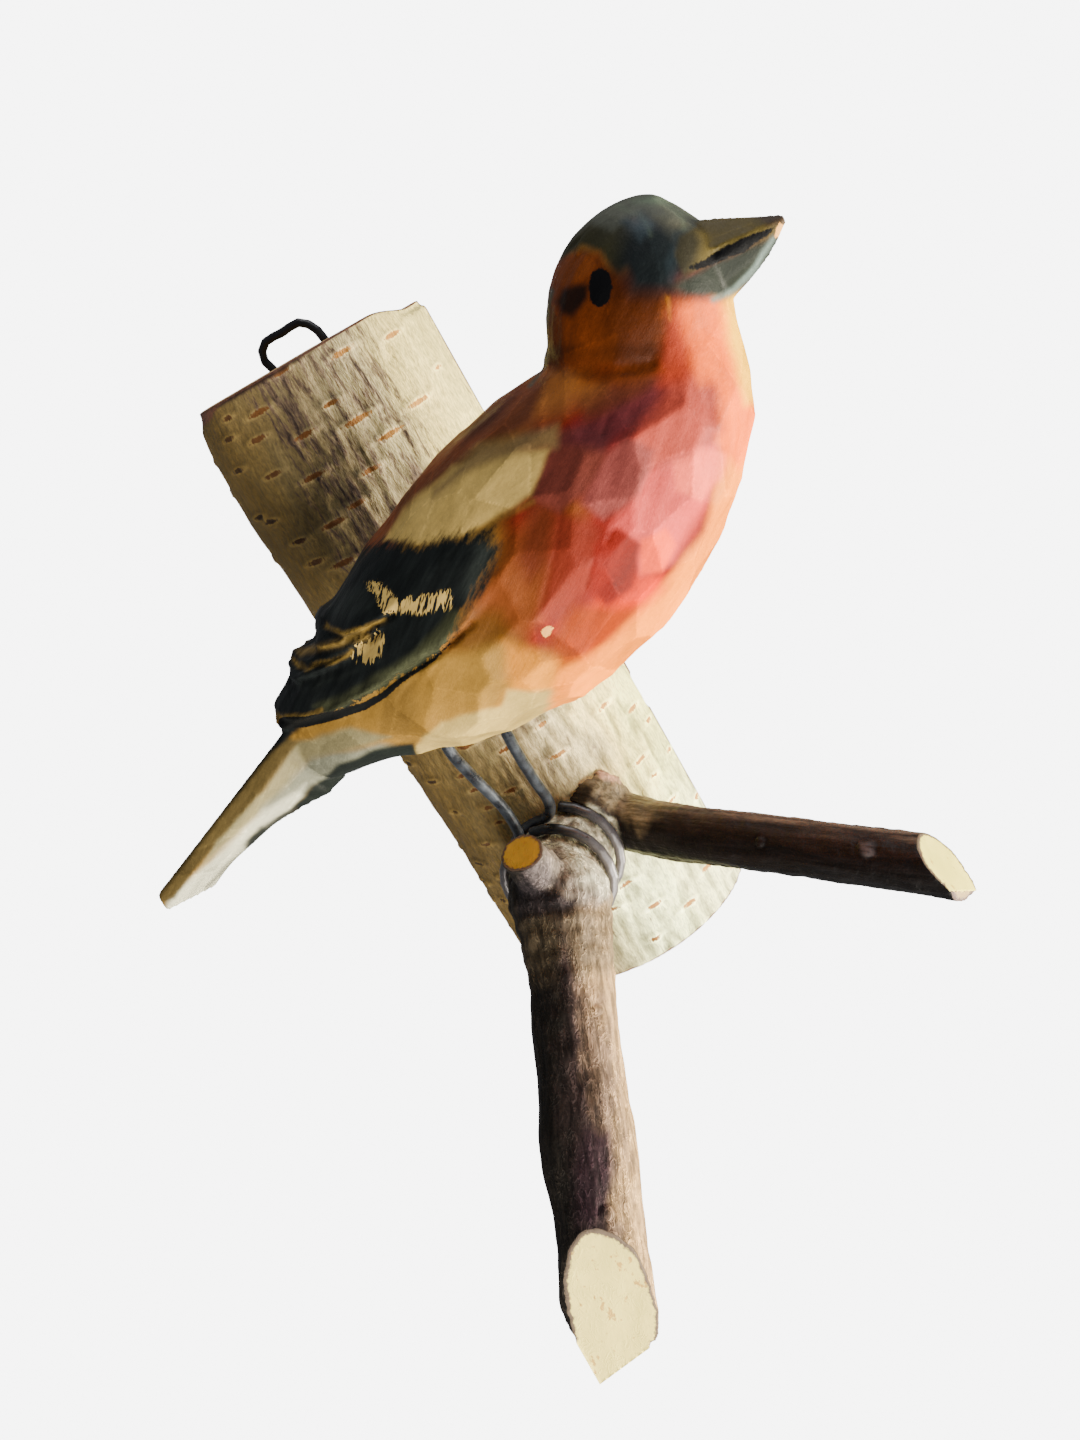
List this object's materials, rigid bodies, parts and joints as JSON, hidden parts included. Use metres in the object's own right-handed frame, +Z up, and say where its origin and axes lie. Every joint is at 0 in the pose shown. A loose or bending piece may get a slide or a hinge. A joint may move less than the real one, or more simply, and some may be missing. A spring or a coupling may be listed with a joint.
{
  "type": "wall-hung carved wooden bird",
  "caption": "Painted carved songbird on bent wire legs, perched on a forked twig fixed to a half-round birch log plaque that hangs flat on a wall by a small wire loop.",
  "frame": {"origin": "middle of the log plaque's flat back, in the plane of the wall", "axes": "+Z up along the log, +Y into the wall, +X to the right of a viewer who faces the wall; the bird looks toward +X"},
  "size_m": [0.1134, 0.0707, 0.1378],
  "materials": {
    "birch_log": "pale birch bark, pale sawn ends and back",
    "twig_wood": "dark smooth bark, cream knife-cut ends",
    "black_wire": "black wire",
    "leg_wire": "dark blue-grey annealed steel wire",
    "painted_wood": "knife-carved wood with thin brushed paint: orange to rose breast, slate head, black and cream wings"
  },
  "bodies": {
    "root": {"birch_plaque": "birch_log", "forked_twig": "twig_wood", "hanger_wire": "black_wire", "leg_wire_near": "leg_wire", "leg_wire_far": "leg_wire", "carved_bird": "painted_wood"}
  },
  "joints": []
}
